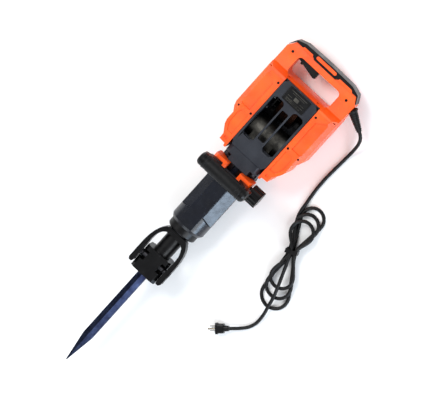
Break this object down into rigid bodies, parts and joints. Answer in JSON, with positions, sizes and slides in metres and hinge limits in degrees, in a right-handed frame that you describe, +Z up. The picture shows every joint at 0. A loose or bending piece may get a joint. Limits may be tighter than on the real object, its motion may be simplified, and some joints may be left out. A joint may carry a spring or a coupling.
{
  "type": "electric demolition hammer",
  "caption": "Electric demolition hammer lying on its back, with an orange body, a black side handle, a point chisel, and a tied cord with a three-pin plug.",
  "frame": {"origin": "middle of the object's footprint on the floor, without its cord and plug", "axes": "+Z up, away from the floor and out of the front of the tool; +Y along the tool from the chisel to the rear handle"},
  "size_m": [0.4471, 1.058, 0.2435],
  "materials": {
    "housing_orange": "satin",
    "case_grey": "satin",
    "trim_black": "satin",
    "soft_rubber": "matte",
    "barrel_paint": "satin",
    "holder_black": "satin",
    "casting": "satin",
    "blackened_steel": "satin",
    "machined_steel": "satin",
    "chisel_steel": "satin",
    "windings": "satin",
    "carbon": "matte",
    "plug_brass": "satin"
  },
  "bodies": {
    "root": {"motor_case": "case_grey", "front_panel": "case_grey", "back_panel": "case_grey", "nameplate": "trim_black", "neck": "case_grey", "neck_bolt_left": "blackened_steel", "neck_bolt_right": "blackened_steel", "right_cover": "housing_orange", "left_cover": "housing_orange", "handle_front_shell": "housing_orange", "handle_back_shell": "housing_orange", "handle_guard": "trim_black", "handle_badge": "housing_orange", "switch_body": "trim_black", "stator": "windings", "motor_bearing_left": "machined_steel", "motor_bearing_right": "machined_steel", "carbon_brush_upper": "carbon", "carbon_brush_lower": "carbon", "crank_bearing": "machined_steel", "crankcase": "casting", "gear_case_cover": "casting", "cylinder_liner": "machined_steel", "front_damper": "soft_rubber", "barrel": "barrel_paint", "nose_flange": "holder_black", "tool_holder": "holder_black", "strain_relief": "soft_rubber", "cord_lead": "soft_rubber", "cord_hank": "soft_rubber", "cord_tie": "trim_black", "cord_tail": "soft_rubber", "plug_body": "trim_black", "plug_blade_left": "plug_brass", "plug_blade_right": "plug_brass", "plug_earth_pin": "plug_brass"},
    "armature": {"armature": "windings", "cooling_fan": "trim_black"},
    "idler": {"idler_gear": "machined_steel"},
    "crank": {"crankshaft": "machined_steel", "crank_gear": "machined_steel"},
    "piston": {"piston": "casting", "wrist_pin": "machined_steel"},
    "connecting_rod": {"connecting_rod": "machined_steel"},
    "ram": {"ram": "machined_steel", "ram_seal": "soft_rubber"},
    "impact_bolt": {"impact_bolt": "machined_steel"},
    "chisel": {"chisel": "chisel_steel"},
    "retainer": {"retainer_bail": "holder_black", "latch_pin": "blackened_steel"},
    "side_handle": {"clamp_ring": "holder_black", "clamp_block_right": "housing_orange", "clamp_block_left": "housing_orange", "side_handle_frame": "trim_black", "side_grip": "soft_rubber", "clamp_bolt": "blackened_steel"},
    "clamp_knob": {"clamp_knob": "trim_black"},
    "trigger": {"trigger": "trim_black"},
    "lock_button": {"lock_button": "trim_black"}
  },
  "joints": [
    {"name": "armature_spin", "type": "hinge", "parent": "root", "child": "armature", "pos_m": [0, 0.372, 0.062], "axis": [1, 0, 0], "continuous": true},
    {"name": "idler_spin", "type": "hinge", "parent": "root", "child": "idler", "pos_m": [0, 0.332, 0.062], "axis": [1, 0, 0], "continuous": true},
    {"name": "crank_spin", "type": "hinge", "parent": "root", "child": "crank", "pos_m": [0, 0.28075, 0.062], "axis": [1, 0, 0], "continuous": true},
    {"name": "piston_stroke", "type": "slide", "parent": "root", "child": "piston", "axis": [0, -1, 0], "range_m": [0, 0.032]},
    {"name": "rod_swing", "type": "hinge", "parent": "piston", "child": "connecting_rod", "pos_m": [0, 0.20675, 0.062], "axis": [1, 0, 0], "range_deg": [-10.2, 10.2]},
    {"name": "ram_travel", "type": "slide", "parent": "root", "child": "ram", "axis": [0, -1, 0], "range_m": [0, 0.025]},
    {"name": "impact_bolt_travel", "type": "slide", "parent": "root", "child": "impact_bolt", "axis": [0, -1, 0], "range_m": [0, 0.008]},
    {"name": "chisel_travel", "type": "slide", "parent": "root", "child": "chisel", "axis": [0, -1, 0], "range_m": [0, 0.013]},
    {"name": "retainer_swing", "type": "hinge", "parent": "root", "child": "retainer", "pos_m": [0, -0.17, 0.082], "axis": [1, 0, 0], "range_deg": [0, 115]},
    {"name": "side_handle_swivel", "type": "hinge", "parent": "root", "child": "side_handle", "pos_m": [0, 0.15, 0.062], "axis": [0, 1, 0], "continuous": true},
    {"name": "knob_turn", "type": "hinge", "parent": "side_handle", "child": "clamp_knob", "pos_m": [0, 0.15, 0.128], "axis": [1, 0, 0], "continuous": true},
    {"name": "trigger_press", "type": "hinge", "parent": "root", "child": "trigger", "pos_m": [-0.071, 0.493, 0.062], "axis": [0, 0, 1], "range_deg": [0, 6], "stiffness_Nm_per_rad": 1, "springref_deg": -1.15},
    {"name": "lock_press", "type": "slide", "parent": "trigger", "child": "lock_button", "axis": [0, 1, 0], "range_m": [0, 0.003], "stiffness_N_per_m": 300, "springref_m": -0.0005}
  ],
  "couplings": [
    {"joint": "idler_spin", "follows": "armature_spin", "ratio": -0.29032},
    {"joint": "crank_spin", "follows": "armature_spin", "ratio": 0.093652}
  ]
}
